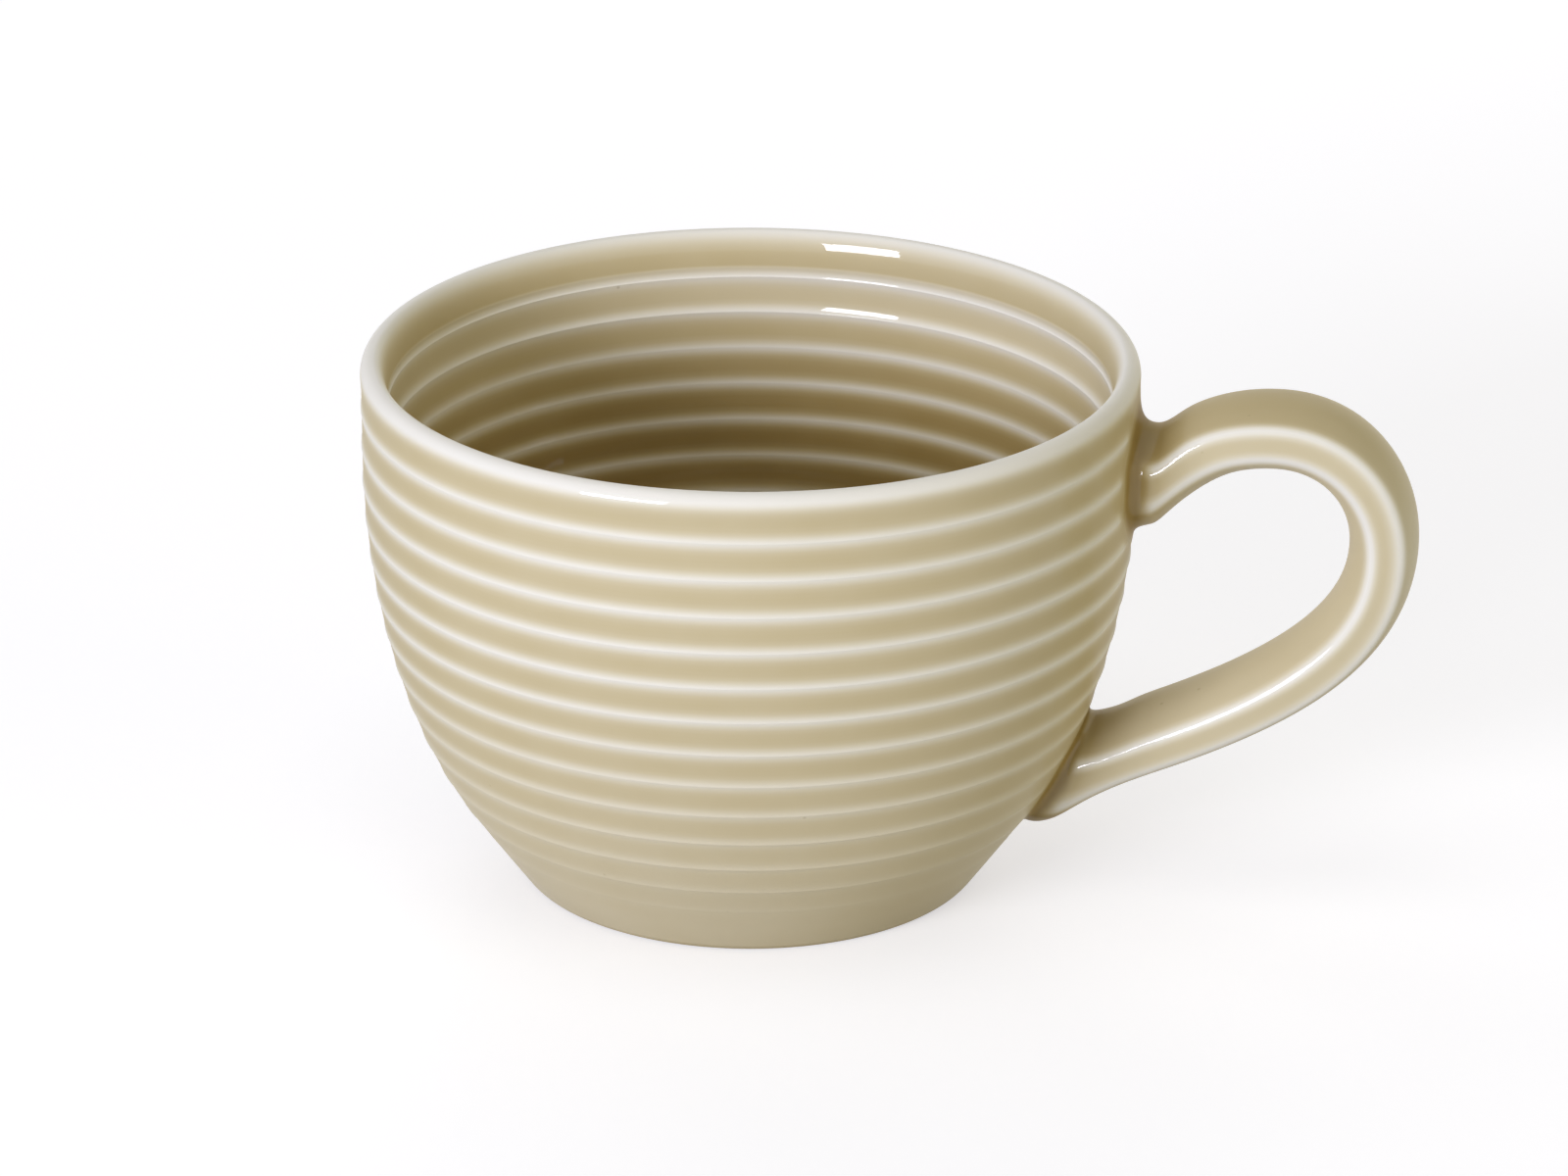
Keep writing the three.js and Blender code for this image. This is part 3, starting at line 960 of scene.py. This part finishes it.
@dataclass
class JointSlip:
    """Slip that sticks one end of the handle to the wall, fingered into a fillet under the glaze."""

    name: str
    node: str
    handle: StrapHandle
    joint: JointFace
    end_ring: Array
    inner_ring: Array
    steps: int = 22
    least_descent: float = 0.2
    straight_share: float = 0.6
    levelled: float = 0.7
    wall_share: float = 0.85
    sink: float = 0.6 * MM
    fill_reach: float = 1.3 * MM
    pool_and_shade_reach: float = 1.6 * MM
    groove: float = 0.4 * MM
    wall_pool_and_shade: float = 0.3
    fillet_pool_and_shade: float = 0.9
    side_lead: float = 0.25
    run_out_from: float = 0.25
    run_out_to: float = 0.75

    @property
    def bowl(self) -> Bowl:
        """The bowl that the handle is stuck to."""
        return self.handle.bowl

    def wall_x(self, across: Array, height: Array) -> Array:
        """The smooth wall's x on the handle's side, at distances from the middle plane and at heights."""
        radius = self.bowl.outer_radius(height)
        return self.bowl.axis_x + np.sqrt(np.maximum(radius**2 - np.asarray(across) ** 2, 0))

    def off_wall(self, ring: Array) -> Array:
        """Points as (y, z, distance off the wall along x)."""
        lift = ring[:, 0] - self.wall_x(ring[:, 1], ring[:, 2])
        return np.stack([ring[:, 1], ring[:, 2], lift], axis=1)

    def beyond_edge(self, across: Array, height: Array) -> Array:
        """How far places on the wall lie outside the slip's edge.

        Args:
            across: Distances from the handle's middle plane.
            height: Heights above the standing face.

        Returns:
            The distance at each place, negative under the slip.
        """
        rise = self.end_ring[:, 2] - self.joint.height
        turn = np.arctan2(rise, self.end_ring[:, 1])
        reach = np.hypot(rise, self.end_ring[:, 1])
        order = np.argsort(turn)
        here = np.arctan2(height - self.joint.height, across)
        outline = np.interp(here, turn[order], reach[order], period=2 * np.pi)
        return np.hypot(height - self.joint.height, across) - outline - self.fillet_towards(here)

    def fillet_towards(self, turn: Array) -> Array:
        """The fillet's width on the wall, at angles about its middle from the strap's side upwards."""
        towards_back = np.sin(turn) * self.joint.end.value
        upright = np.where(towards_back > 0, self.joint.back_fillet, self.joint.fillet)
        return self.joint.side_fillet + (upright - self.joint.side_fillet) * towards_back**2

    def filled(self, beyond: Array) -> Array:
        """How far the flutes are filled level, from 1 under the slip to 0 clear of it."""
        return 1 - smoothstep(beyond, 0, self.fill_reach)

    def pool_and_shading(self, beyond: Array) -> Array:
        """Extra glaze on the wall round the slip, partly painted shade along the joint."""
        return self.wall_pool_and_shade * (1 - smoothstep(beyond, -self.joint.fillet, self.pool_and_shade_reach))

    def hollow(self) -> Array:
        """How far points round the fillet lie over or under the strap, from 1 there to 0 at its sides."""
        rise = self.end_ring[:, 2] - self.joint.height
        return rise**2 / (rise**2 + self.end_ring[:, 1] ** 2)

    def rings(self) -> Array:
        """The fillet's skin in rings, from the handle's end to the wall."""
        start = self.off_wall(self.end_ring)
        run = start - self.off_wall(self.inner_ring)
        least = self.least_descent * np.linalg.norm(run, axis=1, keepdims=True)
        run /= np.maximum(-run[:, 2:], least)
        run[:, :2] *= 1 - self.levelled
        leave = start + run * start[:, 2:] * self.straight_share
        away = np.stack([start[:, 0], start[:, 1] - self.joint.height], axis=1)
        away /= np.linalg.norm(away, axis=1, keepdims=True)
        away *= self.fillet_towards(np.arctan2(away[:, 1], away[:, 0]))[:, None]
        corner, edge = (
            np.column_stack([start[:, :2] + away * part, np.zeros(len(start))])
            for part in (1 - self.wall_share, 1)
        )
        share = np.linspace(0, 1, self.steps + 1)
        skin = bezier(np.array([start, leave, corner, edge]), share)
        pinch = self.groove * np.sin(np.pi * share)[:, None] ** 2 * (1 - self.hollow())
        skin[..., 0] *= 1 - pinch / np.abs(start[:, 0]).max()
        x = self.wall_x(skin[..., 0], skin[..., 1]) + skin[..., 2]
        return np.stack([x, skin[..., 0], skin[..., 1]], axis=2)

    def build(self, rings: Array, normals: Array) -> Object:
        """Make the slip, with glaze pooled in its fillet, partly as painted shade in the crease.

        Args:
            rings: Its skin in rings, from the handle's end to the wall. A last ring is sunk into the wall.
            normals: Normals of the rings, which carry on those of the handle.

        Returns:
            The piece.
        """
        rings = np.concatenate([rings, rings[-1:] - [self.sink, 0, 0]])
        normals = np.concatenate([normals, normals[-1:]])
        _, strap_glaze_and_shading = self.handle.section()
        share = np.append(np.linspace(0, 1, self.steps + 1), 1)[:, None]
        lead = self.side_lead * (1 - self.hollow())
        run_out = smoothstep(share + lead, self.run_out_from, self.run_out_to)
        # Pooled glaze in the fillet, partly painted shade in the crease.
        pooled_fillet_shade = self.fillet_pool_and_shade * run_out * (1 - smoothstep(share, self.run_out_to, 1))
        by_strap = strap_glaze_and_shading * (1 + self.handle.root_pool_and_shade)
        thickness = by_strap * (1 - run_out) + (1 + self.wall_pool_and_shade) * run_out + pooled_fillet_shade
        return glazed_loft(self.name, rings, normals, thickness, np.array([OFF_WALL, TO_WALL]))

    def dress(self, piece: Object, glaze: Glaze) -> None:
        """Glaze the slip."""
        piece.data.materials.append(glaze.material())
        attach(piece, BODY)
        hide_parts(self.node)


@dataclass(frozen=True)
class PhotoCamera:
    """The camera, placed as the photograph's was, round the bowl's axis.

    Angles are in degrees. The lens and the sensor are in millimetres, as Blender takes them.
    """

    turn: float = 8.06
    distance: float = 608.3 * MM
    height: float = 273.1 * MM
    pitch: float = 22.182
    yaw: float = 0.271
    roll: float = 0.151
    lens: float = 176.3
    sensor: float = 36.0

    def build(self, axis_x: float) -> None:
        """Make the camera and give it to the scene.

        Args:
            axis_x: Where the bowl's axis stands.
        """
        data = bpy.data.cameras.new("photo_camera")
        data.lens = self.lens
        data.sensor_width = self.sensor
        camera = placed(data)
        bpy.context.scene.camera = camera
        round_axis = Matrix.Translation((axis_x, 0, 0)) @ Matrix.Rotation(math.radians(self.turn), 4, "Z")
        stand = Matrix.Translation((0, -self.distance, self.height))
        aim = Matrix.Rotation(-math.radians(self.yaw), 4, "Z")
        tip = Matrix.Rotation(math.radians(90 - self.pitch), 4, "X")
        tilt = Matrix.Rotation(math.radians(self.roll), 4, "Z")
        camera.matrix_world = round_axis @ stand @ aim @ tip @ tilt


@dataclass(frozen=True)
class SoftBox:
    """A flat lamp that faces the cup. Its azimuth, from the front, and its elevation are in degrees."""

    name: str
    azimuth: float
    elevation: float
    width: float
    height: float
    brightness: float
    colour: Colour = (1, 1, 1)
    mirrored: bool = False
    distance: float = 0.8

    def build(self, target: Vector) -> None:
        """Make the lamp.

        Args:
            target: The point that it faces.
        """
        data = bpy.data.lights.new(self.name, "AREA")
        data.shape = "RECTANGLE"
        data.size = self.width
        data.size_y = self.height
        data.energy = self.brightness * math.pi * self.width * self.height
        data.color = self.colour
        lamp = placed(data)
        turn, rise = math.radians(self.azimuth), math.radians(self.elevation)
        back = Vector((math.sin(turn) * math.cos(rise), -math.cos(turn) * math.cos(rise), math.sin(rise)))
        lamp.location = target + back * self.distance
        lamp.rotation_mode = "QUATERNION"
        lamp.rotation_quaternion = (-back).to_track_quat("-Z", "Y")
        lamp.visible_camera = False
        lamp.visible_glossy = self.mirrored


@dataclass(frozen=True)
class Studio:
    """Pale floor, white surround and soft boxes."""

    floor_colour: Colour = (0.58, 0.577, 0.568)
    floor_radius: float = 2.5
    floor_sides: int = 128
    floor_gap: float = 0.03 * MM
    floor_lift: Colour = (0.55, 0.55, 0.583)
    fibre_scale: float = 900.0
    fibre_shade: float = 0.985
    surround_light: Colour = (0.245, 0.24, 0.217)
    boxes: tuple[SoftBox, ...] = (
        SoftBox(
            "key_box", azimuth=-29, elevation=15, width=0.34, height=0.21, brightness=20.5,
            colour=(0.985, 1, 1.12), mirrored=True,
        ),
        SoftBox(
            "right_box", azimuth=72, elevation=14, width=0.5, height=0.26, brightness=3.4,
            colour=(1.06, 0.98, 0.64),
        ),
        SoftBox("back_box", azimuth=-150, elevation=40, width=0.5, height=0.4, brightness=1.15),
        SoftBox("top_box", azimuth=-20, elevation=75, width=0.5, height=0.4, brightness=1.6),
        SoftBox("rear_box", azimuth=178, elevation=16, width=0.6, height=0.3, brightness=4),
    )

    def seen(self, sheet: NodeSheet) -> NodeSocket:
        """Mask of the rays that look at the background: from the camera, or by way of gloss or glass."""
        path = sheet.add("LightPath").outputs
        direct = sheet.math("MAXIMUM", path["Is Camera Ray"], path["Is Glossy Ray"])
        return sheet.math("MAXIMUM", direct, path["Is Transmission Ray"])

    def build_world(self) -> None:
        """Light the scene softly from around, and show the surround as white."""
        world = bpy.data.worlds.new("white_surround")
        bpy.context.scene.world = world
        world.use_nodes = True
        sheet = NodeSheet(world.node_tree)
        colour = sheet.mix(self.seen(sheet), (*self.surround_light, 1), (1, 1, 1, 1))
        light = sheet.add("Background", {"Color": colour, "Strength": 1.0})
        sheet.add("OutputWorld", {"Surface": light.outputs[0]})

    def floor_material(self) -> Material:
        """Pale matt board that is lifted towards white where it is looked at, and keeps its shadows."""
        material, sheet = blank_material("pale_board")
        fibre = sheet.noise(self.fibre_scale, detail=3.0)
        tone = sheet.ramp(fibre, 0.0, 1.0, self.fibre_shade, 1.0)
        colour = sheet.mix(1.0, (*self.floor_colour, 1), tone, "MULTIPLY")
        board = sheet.add("BsdfDiffuse", {"Color": colour})
        glow = sheet.add("Emission", {"Color": (*self.floor_lift, 1), "Strength": self.seen(sheet)})
        both = sheet.add("AddShader", {0: board.outputs[0], 1: glow.outputs[0]})
        sheet.add("OutputMaterial", {"Surface": both.outputs[0]})
        return material

    def build(self, target: Vector) -> None:
        """Make the floor, the surround and the lamps.

        Args:
            target: The point that the lamps face.
        """
        bpy.ops.mesh.primitive_circle_add(
            vertices=self.floor_sides, radius=self.floor_radius, fill_type="NGON",
        )
        floor = bpy.context.active_object
        floor.name = "floor"
        floor.location.z = -self.floor_gap
        floor.data.materials.append(self.floor_material())
        self.build_world()
        for box in self.boxes:
            box.build(target)
        bpy.context.scene.view_settings.view_transform = "Standard"


def build_cup() -> None:
    """Build and dress the cup's four pieces, and report each."""
    bowl = Bowl.from_frame()
    handle = StrapHandle(bowl)
    strap = handle.rings()
    upper, lower = handle.joints
    slips = [
        JointSlip("upper_slip_fillet", "upper_joint_slip", handle, upper, strap[0], strap[1]),
        JointSlip("lower_slip_fillet", "lower_joint_slip", handle, lower, strap[-1], strap[-2]),
    ]
    upper_rings, lower_rings = (slip.rings() for slip in slips)
    skin = np.concatenate([upper_rings[:0:-1], strap, lower_rings[1:]])
    skin = sponged(skin, handle.sponge_passes)
    normals = skin_normals(skin)
    first, last = len(upper_rings) - 1, len(upper_rings) - 1 + len(strap)
    bowl_piece = bowl.build(slips)
    bowl.dress(bowl_piece, Glaze("sand_glaze_bowl"), BareClay("bare_foot_ring"))
    handle_piece = handle.build(skin[first:last], normals[first:last])
    handle.dress(handle_piece, Glaze("sand_glaze_handle"))
    slip_pieces = [
        slips[0].build(skin[first::-1], normals[first::-1]),
        slips[1].build(skin[last - 1:], normals[last - 1:]),
    ]
    for slip, piece in zip(slips, slip_pieces):
        slip.dress(piece, Glaze("sand_glaze_" + slip.name))
    for piece in (bowl_piece, handle_piece, *slip_pieces):
        LOG.info("built %s with %d faces", piece.name, len(piece.data.polygons))


def main() -> None:
    """Build the cup, the studio and the camera."""
    logging.basicConfig(level=logging.INFO, format="%(name)s: %(message)s")
    build_cup()
    low, high = CAD_BOX
    Studio().build((low + high) / 2)
    PhotoCamera().build(Bowl.from_frame().axis_x)


if __name__ == "__main__":
    main()
